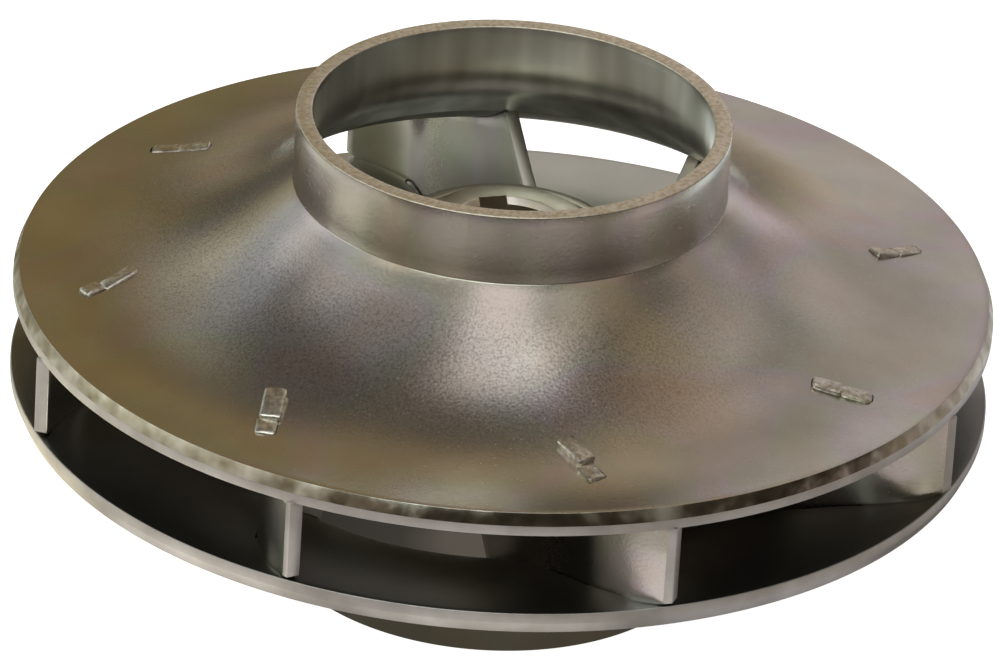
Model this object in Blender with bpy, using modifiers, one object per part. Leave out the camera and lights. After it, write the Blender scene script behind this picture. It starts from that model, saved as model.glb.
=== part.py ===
"""Double-entry pump impeller made of sheet steel.

Two pressed shrouds, mirror images of each other, hold eight swept vanes between
them. Tabs on the edges of each vane pass through slots in the shrouds and are
hammered apart. A centre web inside the vanes carries the hub with its keyed bore.

Metres, +Z up along the shaft. The piece rests on the end of its lower collar.
"""

import math

import bmesh
import bpy
from mathutils import Matrix

MM = 0.001
GAP = 0.3 * MM

# Whole impeller
RIM_RADIUS = 120 * MM
HALF_HEIGHT = 59.6 * MM
OUTLET_HALF = 10.5 * MM
TURN_STEPS = 72
SMALL_TURN_STEPS = 48

# Shroud: collar, one wide sweep down to the flat rim, and the lip inside
RIM_THICKNESS = 5.6 * MM
RIM_CHAMFER = 1.3 * MM
RIM_BAND = 2.6 * MM
COLLAR_OUTER = 53.0 * MM
COLLAR_INNER = 48.95 * MM
COLLAR_EDGE = 0.4 * MM
SWEEP_START = 117 * MM
SWEEP_RADIUS = 91.8 * MM
SWEEP_STEPS = 9
LIP_RADIUS = 61.8 * MM
INNER_START = 118 * MM
INNER_RADIUS = 91.85 * MM
INNER_STEPS = 7

# Vanes
VANE_COUNT = 8
VANE_THICKNESS = 3.4 * MM
VANE_END_RADIUS = 119.6 * MM
TRAILING_AZIMUTH = 22.2
VANE_PATH = ((120.0, 0.0), (106.2, -7.3), (97.6, -10.0), (80.0, -15.5), (61.8, -20.6), (45.5, -28.0),
             (30.0, -40.0), (20.0, -52.0))
VANE_STATIONS = 18
EDGE_SLOPE = 0.72
EDGE_AT_LIP = 29.7 * MM
EDGE_RAISE = 6 * MM

# Tabs and their slots
TAB_RADIUS = 98.0 * MM
TAB_LENGTH = 15.8 * MM
TAB_PROUD = 2.0 * MM
TAB_SHIFT = 1.0 * MM
TAB_ROOT = 2.0 * MM
TAB_HALF_GAP = 0.5 * MM
SLOT_MARGIN = 0.3 * MM
SLOT_CUT = 24 * MM

# Web and hub
WEB_RADIUS = 52 * MM
WEB_THICKNESS = 4.6 * MM
HUB_RADIUS = 28 * MM
HUB_SHOULDER = 27 * MM
HUB_RIM = 25 * MM
HUB_GROOVE = 3 * MM
NOSE_RADIUS = 20.8 * MM
NOSE_HALF_LENGTH = 30.3 * MM
HUB_EDGE = 0.6 * MM
BORE_RADIUS = 12.9 * MM
BORE_CHAMFER = 1.4 * MM
KEYWAY_WIDTH = 7.0 * MM
KEYWAY_DEPTH = 1.6 * MM
KEYWAY_AZIMUTH = 107

STEEL = ("zinc_plated_steel", (0.52, 0.48, 0.43), 0.34)
MACHINED = ("machined_steel", (0.62, 0.61, 0.59), 0.24)


def clear_scene():
    for thing in list(bpy.data.objects):
        bpy.data.objects.remove(thing, do_unlink=True)


def make_collection(name, hidden=False):
    group = bpy.data.collections.new(name)
    bpy.context.scene.collection.children.link(group)
    group.hide_render = hidden
    return group


def make_material(name, colour, roughness):
    material = bpy.data.materials.new(name)
    material.use_nodes = True
    shader = material.node_tree.nodes["Principled BSDF"]
    shader.inputs["Base Color"].default_value = (*colour, 1)
    shader.inputs["Metallic"].default_value = 1
    shader.inputs["Roughness"].default_value = roughness
    return material


def add_object(name, mesh, group):
    piece = bpy.data.objects.new(name, mesh)
    group.objects.link(piece)
    return piece


def sweep_height(start, radius, at):
    """How far an arc that leaves the flat rim at one radius has risen at another."""
    inward = max(0.0, start - at)
    return radius - math.sqrt(radius ** 2 - inward ** 2)


def outer_height(radius):
    """Height of the shroud's outer face above the mid plane at one radius."""
    return OUTLET_HALF + RIM_THICKNESS + sweep_height(SWEEP_START, SWEEP_RADIUS, radius)


def inner_height(radius):
    """Height of the shroud's inner face above the mid plane at one radius."""
    return OUTLET_HALF + sweep_height(INNER_START, INNER_RADIUS, radius)


def sweep_points(start, radius, end, height, steps):
    """Points along such an arc from its start inwards, evenly spaced."""
    whole = math.asin((start - end) / radius)
    points = []
    for step in range(steps + 1):
        at = start - radius * math.sin(whole * step / steps)
        points.append((at, height(at)))
    return points


def outer_profile():
    """Outer side of the upper shroud from the collar top down to the rim, heights from the mid plane."""
    rim_top = OUTLET_HALF + RIM_THICKNESS
    points = [(COLLAR_OUTER - COLLAR_EDGE, HALF_HEIGHT), (COLLAR_OUTER, HALF_HEIGHT - COLLAR_EDGE)]
    points += sweep_points(SWEEP_START, SWEEP_RADIUS, COLLAR_OUTER, outer_height, SWEEP_STEPS)[::-1]
    points += [(RIM_RADIUS - RIM_CHAMFER, rim_top), (RIM_RADIUS, OUTLET_HALF + RIM_BAND)]
    return points


def inner_profile():
    """Inner side of the upper shroud from the rim up to the collar top, heights from the mid plane."""
    collar_bottom = (COLLAR_INNER, inner_height(LIP_RADIUS) + LIP_RADIUS - COLLAR_INNER)
    points = [(RIM_RADIUS, OUTLET_HALF)]
    points += sweep_points(INNER_START, INNER_RADIUS, LIP_RADIUS, inner_height, INNER_STEPS)
    points += [collar_bottom, (COLLAR_INNER, HALF_HEIGHT - COLLAR_EDGE), (COLLAR_INNER + COLLAR_EDGE, HALF_HEIGHT)]
    return points


def turned(name, profile, group, steps=TURN_STEPS):
    """A closed profile swept once round the shaft axis."""
    mesh = bpy.data.meshes.new(name)
    count = len(profile)
    corners = [(radius, 0, height) for radius, height in profile]
    mesh.from_pydata(corners, [(i, (i + 1) % count) for i in range(count)], [])
    piece = add_object(name, mesh, group)
    screw = piece.modifiers.new("Turn", "SCREW")
    screw.steps = steps
    screw.render_steps = steps
    screw.use_merge_vertices = True
    screw.merge_threshold = 0.00001
    return piece


def cut(piece, cutter, operation="DIFFERENCE"):
    modifier = piece.modifiers.new("Cut with " + cutter.name, "BOOLEAN")
    modifier.operation = operation
    modifier.solver = "EXACT"
    modifier.object = cutter
    return modifier


def box_mesh(name, blocks):
    """One mesh of separate boxes, each given as size and placing matrix."""
    shape = bmesh.new()
    for size, place in blocks:
        bmesh.ops.create_cube(shape, size=1, matrix=place @ Matrix.Diagonal((*size, 1)))
    mesh = bpy.data.meshes.new(name)
    shape.to_mesh(mesh)
    shape.free()
    return mesh


def path_azimuth(radius):
    """Azimuth of the vane's middle line from its trailing edge, by a smooth curve through the path points."""
    points = sorted((r * MM, azimuth) for r, azimuth in VANE_PATH)
    slopes = []
    for i, (r, azimuth) in enumerate(points):
        low = points[max(i - 1, 0)]
        high = points[min(i + 1, len(points) - 1)]
        slopes.append((high[1] - low[1]) / (high[0] - low[0]))
    for i in range(len(points) - 1):
        (r0, a0), (r1, a1) = points[i], points[i + 1]
        if radius <= r1 or i == len(points) - 2:
            span = r1 - r0
            t = (radius - r0) / span
            rise = 3 * t ** 2 - 2 * t ** 3
            start = t ** 3 - 2 * t ** 2 + t
            end = t ** 3 - t ** 2
            return a0 + (a1 - a0) * rise + span * (slopes[i] * start + slopes[i + 1] * end)
    return 0.0


def path_point(radius):
    azimuth = math.radians(path_azimuth(radius))
    return (radius * math.cos(azimuth), radius * math.sin(azimuth))


def path_direction(radius):
    step = 0.5 * MM
    ahead = path_point(radius + step)
    behind = path_point(radius - step)
    return math.atan2(ahead[1] - behind[1], ahead[0] - behind[0])


def vane_outline(group):
    """The vane plate seen along the shaft: a bent strip, raised to more than its full width."""
    inner = HUB_RADIUS + GAP - 1.5 * MM
    outer = RIM_RADIUS + 1.5 * MM
    left, right = [], []
    for station in range(VANE_STATIONS + 1):
        radius = inner + (outer - inner) * station / VANE_STATIONS
        x, y = path_point(radius)
        angle = path_direction(radius)
        dx = -math.sin(angle) * VANE_THICKNESS / 2
        dy = math.cos(angle) * VANE_THICKNESS / 2
        left.append((x + dx, y + dy))
        right.append((x - dx, y - dy))
    curve = bpy.data.curves.new("vane_outline", "CURVE")
    curve.dimensions = "2D"
    curve.fill_mode = "BOTH"
    curve.extrude = EDGE_AT_LIP + EDGE_RAISE
    outline = left + right[::-1]
    spline = curve.splines.new("POLY")
    spline.points.add(len(outline) - 1)
    for point, (x, y) in zip(spline.points, outline):
        point.co = (x, y, 0, 1)
    spline.use_cyclic_u = True
    flat = add_object("vane_outline", curve, group)
    bpy.context.view_layer.update()
    evaluated = flat.evaluated_get(bpy.context.evaluated_depsgraph_get())
    mesh = bpy.data.meshes.new_from_object(evaluated)
    bpy.data.objects.remove(flat, do_unlink=True)
    shape = bmesh.new()
    shape.from_mesh(mesh)
    bmesh.ops.remove_doubles(shape, verts=shape.verts, dist=0.00001)
    bmesh.ops.recalc_face_normals(shape, faces=shape.faces)
    shape.to_mesh(mesh)
    shape.free()
    return mesh


def passage_profile():
    """Half section of the room a vane may fill: between the shrouds, inside the rim, outside the hub."""
    upper = [(VANE_END_RADIUS, inner_height(VANE_END_RADIUS) - GAP)]
    for radius, height in inner_profile():
        if LIP_RADIUS < radius < VANE_END_RADIUS:
            upper.append((radius, height - GAP))
    edge_foot = HUB_RADIUS + GAP
    upper.append((LIP_RADIUS, EDGE_AT_LIP - GAP))
    upper.append((edge_foot, EDGE_AT_LIP - GAP - (LIP_RADIUS - edge_foot) * EDGE_SLOPE))
    lower = [(radius, -height) for radius, height in upper]
    return upper[::-1] + lower


def fork_profile():
    """Section of the room the web takes out of every vane."""
    inner = HUB_RADIUS - 3 * MM
    outer = WEB_RADIUS + GAP
    half = WEB_THICKNESS / 2 + GAP
    return [(inner, half), (outer, half), (outer, -half), (inner, -half)]


def tab_place():
    """Placing matrix of a tab's middle in the mid plane, turned along the vane."""
    x, y = path_point(TAB_RADIUS)
    return Matrix.Translation((x, y, 0)) @ Matrix.Rotation(path_direction(TAB_RADIUS), 4, "Z")


def tab_blocks():
    """The tabs of one vane: on each edge an inner and an outer half, pushed apart and rooted in the plate."""
    blocks = []
    lean = path_direction(TAB_RADIUS) - math.radians(path_azimuth(TAB_RADIUS))
    length = (TAB_LENGTH - TAB_HALF_GAP) / 2
    for half in (1, -1):
        along = half * (length + TAB_HALF_GAP) / 2
        reach = TAB_RADIUS + along * math.cos(lean)
        top = outer_height(reach) + TAB_PROUD
        bottom = inner_height(reach + length / 2) - TAB_ROOT
        for side in (1, -1):
            shift = Matrix.Translation((along, -half * TAB_SHIFT, side * (top + bottom) / 2))
            blocks.append(((length, VANE_THICKNESS, top - bottom), tab_place() @ shift))
    return blocks


def slot_blocks(side):
    """Cutters for the eight slots of one shroud."""
    width = VANE_THICKNESS + 2 * TAB_SHIFT + 2 * SLOT_MARGIN
    size = (TAB_LENGTH + 2 * SLOT_MARGIN, width, SLOT_CUT)
    lift = Matrix.Translation((0, 0, side * outer_height(TAB_RADIUS)))
    blocks = []
    for index in range(VANE_COUNT):
        spin = Matrix.Rotation(vane_turn(index), 4, "Z")
        blocks.append((size, spin @ tab_place() @ lift))
    return blocks


def vane_turn(index):
    return math.radians(TRAILING_AZIMUTH + 360 / VANE_COUNT * index)


def build_shroud(name, side, group, cutters, material):
    profile = [(radius, side * height) for radius, height in outer_profile() + inner_profile()]
    if side < 0:
        profile.reverse()
    shroud = turned(name, profile, group)
    slots = add_object(name + "_slots", box_mesh(name + "_slots", slot_blocks(side)), cutters)
    slots.display_type = "WIRE"
    cut(shroud, slots)
    shroud.data.materials.append(material)
    return shroud


def build_vanes(group, cutters, material):
    passage = turned("passage", passage_profile(), cutters)
    passage.display_type = "WIRE"
    fork = turned("fork", fork_profile(), cutters, SMALL_TURN_STEPS)
    fork.display_type = "WIRE"
    mesh = vane_outline(cutters)
    mesh.materials.append(material)
    tabs_mesh = box_mesh("vane_tabs", tab_blocks())
    vanes = []
    for index in range(VANE_COUNT):
        vane = add_object("vane_%d" % (index + 1), mesh, group)
        vane.rotation_euler.z = vane_turn(index)
        tabs = add_object("vane_tabs_%d" % (index + 1), tabs_mesh, cutters)
        tabs.rotation_euler.z = vane_turn(index)
        tabs.display_type = "WIRE"
        cut(vane, passage, "INTERSECT")
        cut(vane, fork)
        cut(vane, tabs, "UNION")
        vanes.append(vane)
    return vanes


def build_web(group, material):
    inner = HUB_RADIUS + GAP
    half = WEB_THICKNESS / 2
    profile = [(inner, half), (WEB_RADIUS, half), (WEB_RADIUS, -half), (inner, -half)]
    web = turned("centre_web", profile, group, SMALL_TURN_STEPS)
    web.data.materials.append(material)
    return web


def build_hub(group, cutters, material):
    half = NOSE_HALF_LENGTH
    edge = HUB_EDGE
    groove = HUB_SHOULDER - HUB_GROOVE
    upper = [
        (BORE_RADIUS, half - BORE_CHAMFER), (BORE_RADIUS + BORE_CHAMFER, half),
        (NOSE_RADIUS - edge, half), (NOSE_RADIUS, half - edge),
        (NOSE_RADIUS, groove), (HUB_RIM, groove), (HUB_RIM, HUB_SHOULDER), (HUB_RADIUS - edge, HUB_SHOULDER),
        (HUB_RADIUS, HUB_SHOULDER - edge),
    ]
    lower = [(radius, -height) for radius, height in reversed(upper)]
    hub = turned("hub", upper + lower, group, SMALL_TURN_STEPS)
    reach = BORE_RADIUS + KEYWAY_DEPTH
    size = (reach, KEYWAY_WIDTH, 3 * half)
    place = Matrix.Rotation(math.radians(KEYWAY_AZIMUTH), 4, "Z") @ Matrix.Translation((reach / 2, 0, 0))
    keyway = add_object("keyway", box_mesh("keyway", [(size, place)]), cutters)
    keyway.display_type = "WIRE"
    cut(hub, keyway)
    hub.data.materials.append(material)
    return hub


def build():
    clear_scene()
    group = make_collection("pump_impeller")
    cutters = make_collection("cutters", hidden=True)
    steel = make_material(*STEEL)
    machined = make_material(*MACHINED)
    pieces = [
        build_shroud("shroud_upper", 1, group, cutters, steel),
        build_shroud("shroud_lower", -1, group, cutters, steel),
    ]
    pieces += build_vanes(group, cutters, steel)
    pieces.append(build_web(group, steel))
    pieces.append(build_hub(group, cutters, machined))
    frame = bpy.data.objects.new("resting_height", None)
    group.objects.link(frame)
    frame.location.z = HALF_HEIGHT
    for piece in pieces + list(cutters.objects):
        piece.parent = frame


build()
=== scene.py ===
# %% [markdown]
# # A pump impeller pressed from sheet steel
#
# The real part is the wheel of a pump. Two pressed shrouds, one the mirror of the other,
# hold eight bent vanes between them, and a turned hub sits in the middle. The shapes come
# from a CAD model that is already fixed. This lesson loads it, builds a finer visual piece
# for each of its parts in the same place, and gives them the look of bright zinc plating
# under soft light. One photograph is all that it goes by: what each finish is, and how it
# was made, is a reading of what shows there.

# %% Load the fixed model
import math
import random

import bmesh
import bpy
from mathutils import Matrix, Vector, noise


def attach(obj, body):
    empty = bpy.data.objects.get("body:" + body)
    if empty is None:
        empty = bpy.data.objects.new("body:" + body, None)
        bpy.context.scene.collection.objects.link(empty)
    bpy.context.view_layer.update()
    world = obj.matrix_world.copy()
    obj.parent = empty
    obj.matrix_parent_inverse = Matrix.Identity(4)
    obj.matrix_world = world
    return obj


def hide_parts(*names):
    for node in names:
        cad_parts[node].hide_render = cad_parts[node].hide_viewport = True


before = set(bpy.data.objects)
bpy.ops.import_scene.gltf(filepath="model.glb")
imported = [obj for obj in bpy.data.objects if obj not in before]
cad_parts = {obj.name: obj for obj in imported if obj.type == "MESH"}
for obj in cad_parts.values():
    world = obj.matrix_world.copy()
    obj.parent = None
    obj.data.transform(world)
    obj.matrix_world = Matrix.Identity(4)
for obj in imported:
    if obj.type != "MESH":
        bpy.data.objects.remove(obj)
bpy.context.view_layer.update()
MM = 0.001
MID_HEIGHT = 59.6 * MM
print("nodes of the model:", ", ".join(sorted(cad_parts)))

# %% [markdown]
# ## The camera
#
# The photograph was taken from far away with a long lens, so the round rims look like
# true ellipses. The rims' shapes gave the camera's height, its small roll and its lens.
# A camera in Blender looks along its own -Z, so its matrix is made from three directions:
# right, up and back.

# %% Place the camera
VIEW_ELEVATION = 28.148
VIEW_ROLL = 3.522
VIEW_DISTANCE = 2403.416 * MM
VIEW_TARGET = Vector((-0.226 * MM, 0, -0.625 * MM))
SENSOR_WIDTH = 36
# The lens as fitted to the photograph: its length in pixels, in a picture this many pixels wide.
LENS_PIXELS = 9797.033
PICTURE_WIDTH = 1000


def make_camera():
    """A camera where the photograph's camera stood, made the scene's camera."""
    rise = math.radians(VIEW_ELEVATION)
    roll = math.radians(VIEW_ROLL)
    place = Vector((0, -math.cos(rise), math.sin(rise))) * VIEW_DISTANCE
    forward = (VIEW_TARGET - place).normalized()
    level = forward.cross(Vector((0, 0, 1))).normalized()
    upright = level.cross(forward)
    right = level * math.cos(roll) + upright * math.sin(roll)
    up = upright * math.cos(roll) - level * math.sin(roll)
    turn = Matrix((right, up, -forward)).transposed().to_4x4()
    data = bpy.data.cameras.new("camera")
    data.sensor_width = SENSOR_WIDTH
    data.lens = LENS_PIXELS * SENSOR_WIDTH / PICTURE_WIDTH
    camera = bpy.data.objects.new("camera", data)
    bpy.context.scene.collection.objects.link(camera)
    camera.matrix_world = Matrix.Translation(place + Vector((0, 0, MID_HEIGHT))) @ turn
    bpy.context.scene.camera = camera
    return camera


camera = make_camera()
print("lens of %.0f mm at %.2f m" % (camera.data.lens, VIEW_DISTANCE))

# %% [markdown]
# ## Node materials with one small helper
#
# Every finish here is a tree of shader nodes. `add_node` makes one node, sets its
# options, fills its inputs and, for a colour ramp, places the stops. An input is a plain
# value, a socket of another node, or another node whose output is meant. Colours are
# picked as sRGB hex values, the way a paint program shows them, and turned to the linear
# numbers that the renderer works with.

# %% Helpers for materials
NOISE = "ShaderNodeTexNoise"
RAMP = "ShaderNodeValToRGB"
RANGE = "ShaderNodeMapRange"
BUMP = "ShaderNodeBump"
MIX = "ShaderNodeMix"
MATH = "ShaderNodeMath"
AXES = "ShaderNodeSeparateXYZ"
BLEND = {"data_type": "RGBA"}
MULTIPLY = {"data_type": "RGBA", "blend_type": "MULTIPLY"}


def linear(hex_colour):
    """A linear colour from an sRGB hex value such as 'c8c4bd'."""
    parts = []
    for start in (0, 2, 4):
        value = int(hex_colour[start:start + 2], 16) / 255
        parts.append(value / 12.92 if value <= 0.04045 else ((value + 0.055) / 1.055) ** 2.4)
    return (*parts, 1)


def fill(tree, node, inputs):
    """Fills inputs of a node, each with a value, a socket or the first used output of a node."""
    for name, value in inputs.items():
        if isinstance(value, bpy.types.Node):
            value = next(output for output in value.outputs if output.enabled)
        if isinstance(value, bpy.types.NodeSocket):
            tree.links.new(value, node.inputs[name])
        else:
            node.inputs[name].default_value = value


def add_node(tree, kind, settings, inputs, stops=()):
    """A new node with its options, its inputs and, for a colour ramp, its stops."""
    made = tree.nodes.new(kind)
    for name, value in settings.items():
        setattr(made, name, value)
    fill(tree, made, inputs)
    if stops:
        band = made.color_ramp.elements
        while len(band) < len(stops):
            band.new(0.5)
        for element, (position, colour) in zip(band, stops):
            element.position = position
            element.color = linear(colour)
    return made


def new_material(name):
    """An empty metal material: its tree, its shader and the position on the piece in metres."""
    material = bpy.data.materials.new(name)
    material.use_nodes = True
    tree = material.node_tree
    shader = tree.nodes["Principled BSDF"]
    shader.inputs["Metallic"].default_value = 1
    place = add_node(tree, "ShaderNodeTexCoord", {}, {})
    return material, tree, shader, place.outputs["Object"]


def per_metre(size_mm):
    """Noise scale for features of this size: a noise texture has about one feature a unit."""
    return 1 / (size_mm * MM)


def shaft_distance(tree, place):
    """How far a point lies from the shaft axis."""
    level = add_node(tree, "ShaderNodeVectorMath", {"operation": "MULTIPLY"}, {0: place, 1: (1, 1, 0)})
    return add_node(tree, "ShaderNodeVectorMath", {"operation": "LENGTH"}, {0: level})


print("middle grey 808080 is %.3f as a linear number" % linear("808080")[0])

# %% [markdown]
# ## Zinc-plated pressed steel
#
# The shrouds and vanes are hot-rolled steel sheet, pressed and then plated with bright
# zinc. The plating keeps the fine sandy grain of the sheet, so reflections are satin and
# a little speckled. On the shrouds' sweep the grain is also drawn as dark specks, with
# painted shade: they show only on the left and in front, where the light falls across
# the grain. A thin clear film on the zinc gives faint violet and green tints that drift
# over some tens of millimetres. Zinc is a warm light grey metal: the base colour sits
# near 0.6 and the roughness near 0.25. The shrouds' inner faces are drawn duller, and
# the vanes and the web rougher near the shaft, to fit the photograph's tones. Inner
# faces that look down get painted shade, and so do those in front toward the outlet.

# %% Zinc plating
RIM_RADIUS = 120 * MM
CLOUD_MM = 26
FILM_MM = 34
# The real grain looks like about 0.2 mm. It is drawn coarser, so that it shows in the picture.
GRAIN_MM = 0.8
SPECK_MM = 0.6
# How much rougher the plating is near the shaft, and the radii between which that fades.
DULLER = 0.15
DULL_UNTIL = 60 * MM
BRIGHT_FROM = 100 * MM


def zinc_plating(name, specks_of_grain_and_shade):
    """Bright zinc on sheet; a pressed piece also gets dark specks of grain with painted shade, where the
    light falls across the grain.
    """
    material, tree, shader, place = new_material(name)
    clouds = add_node(tree, NOISE, {}, {"Vector": place, "Scale": per_metre(CLOUD_MM), "Detail": 4})
    grey = add_node(tree, RAMP, {}, {"Fac": clouds}, [(0.30, "c4bfb6"), (0.52, "cdc9c1"), (0.72, "d6d3cd")])
    film = add_node(tree, NOISE, {}, {
        "Vector": place, "Scale": per_metre(FILM_MM), "Detail": 1, "Distortion": 0.8})
    tint = add_node(tree, RAMP, {}, {"Fac": film}, [
        (0.34, "fff6e2"), (0.46, "f4fbec"), (0.54, "fbf2ff"), (0.64, "ffece8")])
    colour = add_node(tree, MIX, MULTIPLY, {"Factor": 0.55, "A": grey, "B": tint})
    if specks_of_grain_and_shade:
        # Painted shade: the grain's dark specks are painted only on the sweep, on the left and in front,
        # where the light falls across the grain.
        specks = add_node(tree, NOISE, {}, {"Vector": place, "Scale": per_metre(SPECK_MM), "Detail": 5})
        grain_and_shade_dots = add_node(tree, RAMP, {}, {"Fac": specks}, [
            (0.36, "d4d4d4"), (0.50, "f6f6f6"), (0.62, "ffffff")])
        share = add_node(tree, RANGE, {}, {
            "Value": shaft_distance(tree, place), "From Max": RIM_RADIUS})
        painted_shade_zone = add_node(tree, RAMP, {}, {"Fac": share}, [
            (0.45, "000000"), (0.54, "ffffff"), (0.70, "ffffff"), (0.84, "303030")])
        # The photograph hardly shows specks on the right of the wheel, where the light falls along the grain,
        # so this painted shade fades out there.
        side = add_node(tree, AXES, {}, {"Vector": place})
        light_across_grain = add_node(tree, RANGE, {}, {
            "Value": side, "From Min": 25 * MM, "From Max": 75 * MM, "To Min": 1, "To Max": 0.2})
        painted_shade_zone = add_node(tree, MATH, {"operation": "MULTIPLY"}, {0: painted_shade_zone, 1: light_across_grain})
        colour = add_node(tree, MIX, MULTIPLY, {"Factor": painted_shade_zone, "A": colour, "B": grain_and_shade_dots})
    grain = add_node(tree, NOISE, {}, {"Vector": place, "Scale": per_metre(GRAIN_MM), "Detail": 2})
    satin = add_node(tree, RANGE, {}, {"Value": grain, "To Min": 0.20, "To Max": 0.30})
    duller = add_node(tree, RANGE, {}, {
        "Value": shaft_distance(tree, place), "From Min": DULL_UNTIL, "From Max": BRIGHT_FROM,
        "To Min": 0 if specks_of_grain_and_shade else DULLER, "To Max": 0})
    satin = add_node(tree, MATH, {"operation": "ADD"}, {0: satin, 1: duller})
    relief = add_node(tree, BUMP, {}, {"Height": grain, "Strength": 0.25, "Distance": 0.1 * MM})
    fill(tree, shader, {"Base Color": colour, "Roughness": satin, "Normal": relief})
    return material


def dull_plating(name, dark, light):
    """Duller, slightly green plating for the faces inside the wheel, fitted to the photograph, with painted
    shade toward the outlet in front.
    """
    material, tree, shader, place = new_material(name)
    clouds = add_node(tree, NOISE, {}, {"Vector": place, "Scale": per_metre(CLOUD_MM), "Detail": 3})
    grey = add_node(tree, RAMP, {}, {"Fac": clouds}, [(0.34, dark), (0.66, light)])
    # In front these faces look darker toward the outlet, so painted shade is drawn there on the front half.
    share = add_node(tree, RANGE, {}, {"Value": shaft_distance(tree, place), "From Max": RIM_RADIUS})
    outlet_shade = add_node(tree, RAMP, {}, {"Fac": share}, [(0.72, "c4c4c4"), (0.97, "969696")])
    side = add_node(tree, AXES, {}, {"Vector": place})
    front = add_node(tree, RANGE, {}, {
        "Value": side.outputs["Y"], "From Min": 0, "From Max": 40 * MM, "To Min": 1, "To Max": 0})
    colour = add_node(tree, MIX, MULTIPLY, {"Factor": front, "A": grey, "B": outlet_shade})
    grain = add_node(tree, NOISE, {}, {"Vector": place, "Scale": per_metre(GRAIN_MM), "Detail": 2})
    relief = add_node(tree, BUMP, {}, {"Height": grain, "Strength": 0.3, "Distance": 0.1 * MM})
    fill(tree, shader, {"Base Color": colour, "Roughness": 0.36, "Normal": relief})
    return material


# %% [markdown]
# ## Edges that were cut, and walls that were turned
#
# The sheet's outer edge looks cut on a lathe: a narrow flat band, matt and light, and
# above it a chamfer. In front the chamfer looks shiny and uneven, and the dark and bright
# things that it mirrors there are put into its colour as painted reflections; elsewhere
# it is as pale as the band. The collar's end looks sawn: rough and brown-grey. Its
# inside wall has upright streaks, as rolling would leave them.

# %% Edge and wall finishes
EDGE_BLOTCH_MM = 14
EDGE_GRAIN_MM = 0.6
CHAMFER_BLOTCH_MM = 8
CHAMFER_WAVE_MM = 5
SAW_MARK_MM = 1.1
STREAK_MM = 11
STREAK_SHORTENING = 0.12


def cut_edge():
    """Matt and light, with soft blotches."""
    material, tree, shader, place = new_material("lathe_cut_steel_edge")
    blotch = add_node(tree, NOISE, {}, {"Vector": place, "Scale": per_metre(EDGE_BLOTCH_MM), "Detail": 3})
    colour = add_node(tree, RAMP, {}, {"Fac": blotch}, [(0.35, "c3bfba"), (0.65, "dad7d3")])
    fine = add_node(tree, NOISE, {}, {"Vector": place, "Scale": per_metre(EDGE_GRAIN_MM), "Detail": 2})
    matt = add_node(tree, RANGE, {}, {"Value": fine, "To Min": 0.48, "To Max": 0.62})
    relief = add_node(tree, BUMP, {}, {"Height": fine, "Strength": 0.25, "Distance": 0.06 * MM})
    fill(tree, shader, {"Base Color": colour, "Roughness": matt, "Normal": relief})
    return material


def shiny_chamfer():
    """Painted reflections, dark and bright in turn, on its front stretch; pale and matt elsewhere."""
    material, tree, shader, place = new_material("turned_steel_chamfer")
    blotch = add_node(tree, NOISE, {}, {"Vector": place, "Scale": per_metre(CHAMFER_BLOTCH_MM), "Detail": 2})
    # Painted reflections: dark and bright blotches in the colour stand for what the front stretch mirrors.
    painted_reflections = add_node(tree, RAMP, {}, {"Fac": blotch}, [(0.36, "6f6658"), (0.52, "938a7a"), (0.66, "e2dccd")])
    pale = add_node(tree, RAMP, {}, {"Fac": blotch}, [(0.36, "b1a484"), (0.64, "f6f0e0")])
    side = add_node(tree, AXES, {}, {"Vector": place})
    turn = add_node(tree, MATH, {"operation": "ARCTAN2"}, {
        0: side.outputs["Y"], 1: side.outputs["X"]})
    share = add_node(tree, RANGE, {}, {"Value": turn, "From Min": -math.pi, "From Max": math.pi})
    # White marks the stretch with painted reflections. The ramp starts and ends at the left of the wheel.
    painted_reflection_stretch = add_node(tree, RAMP, {}, {"Fac": share}, [
        (0.165, "000000"), (0.205, "ffffff"), (0.300, "ffffff"), (0.306, "505050"), (0.312, "ffffff"),
        (0.388, "ffffff"), (0.393, "000000")])
    colour = add_node(tree, MIX, BLEND, {"Factor": painted_reflection_stretch, "A": pale, "B": painted_reflections})
    satin = add_node(tree, RANGE, {}, {"Value": painted_reflection_stretch, "To Min": 0.5, "To Max": 0.2})
    wave = add_node(tree, NOISE, {}, {"Vector": place, "Scale": per_metre(CHAMFER_WAVE_MM), "Detail": 2})
    relief = add_node(tree, BUMP, {}, {"Height": wave, "Strength": 0.5, "Distance": 0.4 * MM})
    fill(tree, shader, {"Base Color": colour, "Roughness": satin, "Normal": relief})
    return material


def sawn_end():
    """Rough and warm, with short dark and light marks."""
    material, tree, shader, place = new_material("sawn_steel_end")
    blotch = add_node(tree, NOISE, {}, {"Vector": place, "Scale": per_metre(SAW_MARK_MM), "Detail": 4})
    colour = add_node(tree, RAMP, {}, {"Fac": blotch}, [(0.34, "dccfb6"), (0.50, "efe4cf"), (0.66, "fbf3e2")])
    relief = add_node(tree, BUMP, {}, {"Height": blotch, "Strength": 0.25, "Distance": 0.1 * MM})
    fill(tree, shader, {"Base Color": colour, "Roughness": 0.5, "Normal": relief})
    return material


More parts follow.
